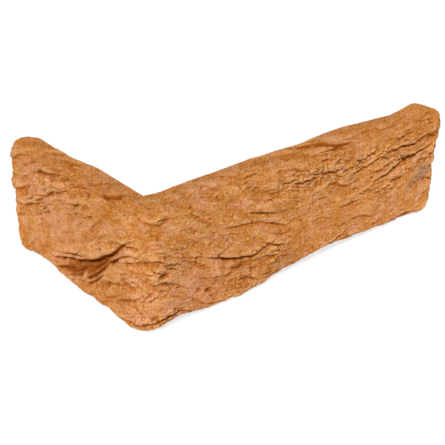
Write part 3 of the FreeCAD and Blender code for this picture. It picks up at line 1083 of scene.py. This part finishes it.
    def worn_rims(self, places: SkinPlaces) -> tuple:
        """Wear the rims along bed, crest and ends, and the tips where two of them meet.

        Args:
            places: The points of the plain block.

        Returns:
            Distances along the leg, distances behind the outer face, and heights.
        """
        along = places.depth + (places.length - places.depth) * places.share
        low = places.rise < 0.5 * self.height
        from_end = places.length - along
        from_bed = np.where(low, places.rise, self.height - places.rise)
        tip = np.where(
            places.is_long(),
            np.where(low, self.long_low_tip, self.long_high_tip),
            np.where(low, self.short_low_tip, self.short_high_tip),
        )
        rim = np.minimum(from_end, from_bed)
        in_tip = (from_end < tip) & (from_bed < tip)
        to_end = np.where(in_tip, tip - from_end, (from_end < from_bed) * 1.0)
        to_bed = np.where(in_tip, tip - from_bed, (from_end >= from_bed) * 1.0)
        reach = np.hypot(to_end, to_bed)
        to_end, to_bed = to_end / reach, to_bed / reach
        from_end = np.where(in_tip, tip - (tip - rim) * to_end, from_end)
        from_bed = np.where(in_tip, tip - (tip - rim) * to_bed, from_bed)
        flat_wear = np.where(low, self.bed_wear, self.crest_wear)
        wear = self.end_wear * to_end ** 2 + flat_wear * to_bed ** 2
        inward, worn_rim = soften(places.depth, rim, wear)
        from_end = from_end + (worn_rim - rim) * to_end
        from_bed = from_bed + (worn_rim - rim) * to_bed
        height = np.where(low, from_bed, self.height - from_bed)
        return places.length - from_end, inward, height

    def worn_corner(self, along: np.ndarray, inward: np.ndarray, depth: np.ndarray) -> tuple:
        """Wear the outer corner down to a round one.

        Args:
            along: Distances along the leg.
            inward: Distances behind the outer face.
            depth: The same distances on the plain block.

        Returns:
            Distances along the leg and behind the outer face, after the wear.
        """
        radius = self.corner_radius
        near = (along < radius) & (inward < radius) & (depth < radius)
        left = np.where(near, radius - depth, 1.0)
        in_along = np.where(near, (radius - along) * (radius - inward) / left, 1.0)
        in_depth = np.where(near, radius - inward, 1.0)
        scale = np.maximum(in_along, in_depth) / np.hypot(in_along, in_depth)
        return (
            np.where(near, radius - in_along * scale, along),
            np.where(near, radius - in_depth * scale, inward),
        )

    def worn(self, places: SkinPlaces) -> np.ndarray:
        """Place the skin after the wear of its edges and tips, before the relief.

        Args:
            places: The points of the plain block.

        Returns:
            Points in the frame of the part, in millimetres.
        """
        along, inward, height = self.worn_rims(places)
        along, inward = self.worn_corner(along, inward, places.depth)

        from_corner = places.along()
        low_line = self.lobe_drop * follow(BED_OUTLINE, from_corner)
        high_line = self.height - self.lobe_drop * follow(CREST_OUTLINE, from_corner)
        height = low_line + (high_line - low_line) * height / self.height
        from_tip = (from_corner + self.short_leg) / self.dome_reach
        across = 2.0 * places.depth / self.thickness - 1.0
        dome = np.exp(-from_tip ** 2) * across ** 2 * ease(2.0 * height / self.height - 1.0)
        height = height - self.dome_drop * dome

        is_long = places.is_long()
        near_end = ease(1.0 - (places.length - along) / self.end_reach)
        waves = np.where(is_long, follow(LONG_END, height), follow(SHORT_END, height))
        along = along + waves * near_end
        x = np.where(is_long, along, inward) - self.thickness
        y = np.where(is_long, inward, along) - self.thickness
        return np.stack([x, y, height], 1)

    def build(self) -> bpy.types.Object:
        """Build, wear, rive and dress the slip.

        Returns:
            The finished object.
        """
        mesh = bpy.data.meshes.new("corner_slip_look")
        block = self.plain_block()
        block.to_mesh(mesh)
        block.free()
        self.rive(mesh)
        self.close_backs(mesh)
        mesh.materials.append(self.finish.material())
        slip = bpy.data.objects.new("corner_slip_look", mesh)
        bpy.context.scene.collection.objects.link(slip)
        return slip

    def rive(self, mesh: bpy.types.Mesh) -> None:
        """Wear the plain block, raise its relief and store what the clay reads.

        Args:
            mesh: Mesh of the plain block, which becomes the riven one.
        """
        places = self.laid_out(mesh)
        worn = self.worn(places)
        mesh.vertices.foreach_set("co", worn.ravel())
        mesh.update()
        normals = np.empty(worn.size)
        mesh.vertices.foreach_get("normal", normals)

        along, depth = places.along(), places.depth
        skin = RivenSkin(self.height)
        relief, painted_shade, flow = skin.relief(along, depth, places.rise)
        fade = 1.0 - self.back_fade * depth / self.thickness
        shift = normals.reshape(-1, 3) * (relief * fade)[:, None]
        self.keep_backs_flat(shift, places)
        final = self.held((worn + shift) * MM)
        mesh.vertices.foreach_set("co", final.ravel())
        mesh.update()

        # How far the relief stands above its evened neighbourhood, which paints highlight on ridges
        # and shade in hollows
        near = self.evened(mesh, relief, self.fine_steps)
        far = self.evened(mesh, near, self.wide_steps)
        unrolled = skin.unrolled(depth, places.rise)
        values = {
            # Painted highlight on ridges and painted shade in hollows
            "painted_relief_shading": self.fine_relief_shading * (relief - near) + self.wide_relief_shading * (near - far),
            # Painted shade in crevices
            "painted_shade": painted_shade,
            "pink": cover(self.pink_patches, along, unrolled),
            "grey": cover(self.grey_patches, along, unrolled),
            "ochre": cover(self.ochre_patches, along, unrolled),
        }
        for name, numbers in values.items():
            layer = mesh.attributes.new(name, "FLOAT", "POINT")
            layer.data.foreach_set("value", numbers)
        strata = mesh.attributes.new("strata", "FLOAT_VECTOR", "POINT")
        strata.data.foreach_set("vector", np.stack([along, depth, flow], 1).ravel())

    def keep_backs_flat(self, shift: np.ndarray, places: SkinPlaces) -> None:
        """Let the rims of the backs move within their back only.

        Args:
            shift: How far each point moves, which is changed.
            places: Where the points lie.
        """
        at_back = places.depth > self.thickness - TOUCH_MM
        at_mitre = places.share * places.length < TOUCH_MM
        shift[at_back & places.is_long(), 1] = 0.0
        shift[at_back & ~places.is_long(), 0] = 0.0
        shift[at_back & at_mitre, :2] = 0.0

    def held(self, points: np.ndarray) -> np.ndarray:
        """Hold the fine relief inside the box of the CAD body, with a soft margin.

        Args:
            points: Points in the frame, in metres.

        Returns:
            The points, pressed back smoothly where they near the box.
        """
        low, high = (np.array(corner) for corner in self.box)
        margin = self.soft_margin * MM
        for wall, way in ((low, 1.0), (high, -1.0)):
            room = np.minimum(way * (points - wall), margin)
            points = points + way * (margin * np.exp(room / margin - 1.0) - room)
        return points

    @staticmethod
    def evened(mesh: bpy.types.Mesh, numbers: np.ndarray, steps: int) -> np.ndarray:
        """Even a value out over its neighbourhood.

        Args:
            mesh: The skin's mesh.
            numbers: One value for each vertex.
            steps: How many times each value is mixed with its neighbours.

        Returns:
            The evened values.
        """
        ends = np.empty(len(mesh.edges) * 2, dtype=np.int64)
        mesh.edges.foreach_get("vertices", ends)
        first, second = ends.reshape(-1, 2).T
        meeting = np.bincount(ends, minlength=len(numbers))
        even = numbers
        for _ in range(steps):
            around = np.bincount(first, even[second], len(numbers))
            around += np.bincount(second, even[first], len(numbers))
            even = 0.5 * (even + around / meeting)
        return even

    def close_backs(self, mesh: bpy.types.Mesh) -> None:
        """Close the two backs with one flat face each, told apart from the riven skin.

        Args:
            mesh: The riven mesh, which is open at its backs.
        """
        shaped = bmesh.new()
        shaped.from_mesh(mesh)
        riven = shaped.faces.layers.float.new("riven")
        for face in shaped.faces:
            face.smooth = True
            face[riven] = 1.0
        for across, along in ((1, 0), (0, 1)):
            rim = [
                edge for edge in shaped.edges
                if len(edge.link_faces) < 2
                and all(abs(vert.co[across]) < TOUCH_M for vert in edge.verts)
                and all(vert.co[along] > -TOUCH_M for vert in edge.verts)
            ]
            made = bmesh.ops.edgeloop_fill(shaped, edges=rim)
            for face in made["faces"]:
                face.smooth = False
                face[riven] = 0.0
            for edge in rim:
                edge.smooth = False
        bmesh.ops.recalc_face_normals(shaped, faces=shaped.faces[:])
        shaped.to_mesh(mesh)
        shaped.free()


@dataclass
class Studio:
    """Pale floor, one soft lamp, even light and the camera at the photograph's angle.

    Places are in metres and angles in degrees. The key's azimuth is from +X in plan and its
    height above the floor. Its strength is in watts per square metre.
    """

    floor_size: float = 4.0
    floor_gap: float = 0.0002
    floor_tone: float = 0.9
    floor_glow: float = 0.75
    key_azimuth: float = 220.0
    key_height: float = 46.0
    key_strength: float = 4.2
    key_width: float = 8.0
    fill_strength: float = 0.28
    camera_at: tuple = (-0.16697, -0.24948, 0.2061)
    camera_yaw: float = 49.618
    camera_dip: float = 27.561
    lens: float = 61.43
    sensor: float = 36.0
    nearest: float = 0.01

    def seen(self, tree: bpy.types.NodeTree) -> bpy.types.NodeSocket:
        """Tell the rays that show a surface, directly or in gloss, from those that light others.

        Args:
            tree: The node tree that asks.

        Returns:
            A socket that is 1 on the rays that show a surface.
        """
        path = tree.nodes.new("ShaderNodeLightPath")
        result = path.outputs["Is Camera Ray"]
        for name in ("Is Glossy Ray", "Is Transmission Ray"):
            most = tree.nodes.new("ShaderNodeMath")
            most.operation = "MAXIMUM"
            tree.links.new(result, most.inputs[0])
            tree.links.new(path.outputs[name], most.inputs[1])
            result = most.outputs[0]
        return result

    def floor(self) -> None:
        """Lay the pale floor, which keeps the shadow of the slip."""
        plate = bmesh.new()
        bmesh.ops.create_grid(plate, x_segments=1, y_segments=1, size=self.floor_size)
        mesh = bpy.data.meshes.new("studio_floor")
        plate.to_mesh(mesh)
        plate.free()
        floor = bpy.data.objects.new("studio_floor", mesh)
        bpy.context.scene.collection.objects.link(floor)
        floor.location.z = -self.floor_gap
        pale = bpy.data.materials.new("pale_floor")
        pale.use_nodes = True
        shader = pale.node_tree.nodes["Principled BSDF"]
        shader.inputs["Base Color"].default_value = (*[self.floor_tone] * 3, 1.0)
        shader.inputs["Roughness"].default_value = 1.0
        shader.inputs["Specular IOR Level"].default_value = 0.0
        tree = pale.node_tree
        glow = tree.nodes.new("ShaderNodeEmission")
        mix = tree.nodes.new("ShaderNodeMixShader")
        share = tree.nodes.new("ShaderNodeMath")
        share.operation = "MULTIPLY"
        share.inputs[1].default_value = self.floor_glow
        tree.links.new(self.seen(tree), share.inputs[0])
        tree.links.new(share.outputs[0], mix.inputs[0])
        tree.links.new(shader.outputs[0], mix.inputs[1])
        tree.links.new(glow.outputs[0], mix.inputs[2])
        tree.links.new(mix.outputs[0], tree.nodes["Material Output"].inputs["Surface"])
        mesh.materials.append(pale)

    def key_light(self) -> None:
        """Hang the soft, distant lamp."""
        lamp = bpy.data.lights.new("key_light", "SUN")
        lamp.energy = self.key_strength
        lamp.angle = math.radians(self.key_width)
        holder = bpy.data.objects.new("key_light", lamp)
        turn, lift = math.radians(self.key_azimuth), math.radians(self.key_height)
        source = Vector((
            math.cos(lift) * math.cos(turn), math.cos(lift) * math.sin(turn), math.sin(lift),
        ))
        holder.rotation_euler = (-source).to_track_quat("-Z", "Y").to_euler()
        bpy.context.scene.collection.objects.link(holder)

    def world(self) -> None:
        """Fill the room with even light and a white backdrop."""
        world = bpy.data.worlds.new("studio_world")
        bpy.context.scene.world = world
        world.use_nodes = True
        tree = world.node_tree
        fill = tree.nodes["Background"]
        fill.inputs["Color"].default_value = (1.0, 1.0, 1.0, 1.0)
        fill.inputs["Strength"].default_value = self.fill_strength
        white = tree.nodes.new("ShaderNodeBackground")
        white.inputs["Color"].default_value = (1.0, 1.0, 1.0, 1.0)
        white.inputs["Strength"].default_value = 1.0
        mix = tree.nodes.new("ShaderNodeMixShader")
        tree.links.new(self.seen(tree), mix.inputs[0])
        tree.links.new(fill.outputs[0], mix.inputs[1])
        tree.links.new(white.outputs[0], mix.inputs[2])
        tree.links.new(mix.outputs[0], tree.nodes["World Output"].inputs["Surface"])

    def camera(self) -> None:
        """Set the camera at the photograph's place, angle and lens."""
        eye = bpy.data.cameras.new("photo_camera")
        eye.lens = self.lens
        eye.sensor_width = self.sensor
        eye.clip_start = self.nearest
        holder = bpy.data.objects.new("photo_camera", eye)
        holder.location = self.camera_at
        yaw, dip = math.radians(self.camera_yaw), math.radians(self.camera_dip)
        way = Vector((math.cos(dip) * math.cos(yaw), math.cos(dip) * math.sin(yaw), -math.sin(dip)))
        holder.rotation_euler = way.to_track_quat("-Z", "Y").to_euler()
        bpy.context.scene.collection.objects.link(holder)
        bpy.context.scene.camera = holder

    def build(self) -> None:
        """Set up the whole studio."""
        self.floor()
        self.key_light()
        self.world()
        self.camera()
        bpy.context.scene.view_settings.view_transform = "Standard"


def main() -> None:
    """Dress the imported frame: build the slip, then the studio."""
    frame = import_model()
    LOG.info("frame with nodes %s", sorted(frame["nodes"]))
    slip = CornerSlip(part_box("corner_slip")).build()
    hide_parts("corner_slip")
    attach(slip, "root")
    LOG.info("corner slip: %d vertices, %d faces", len(slip.data.vertices), len(slip.data.polygons))
    Studio().build()


if __name__ == "__main__":
    main()
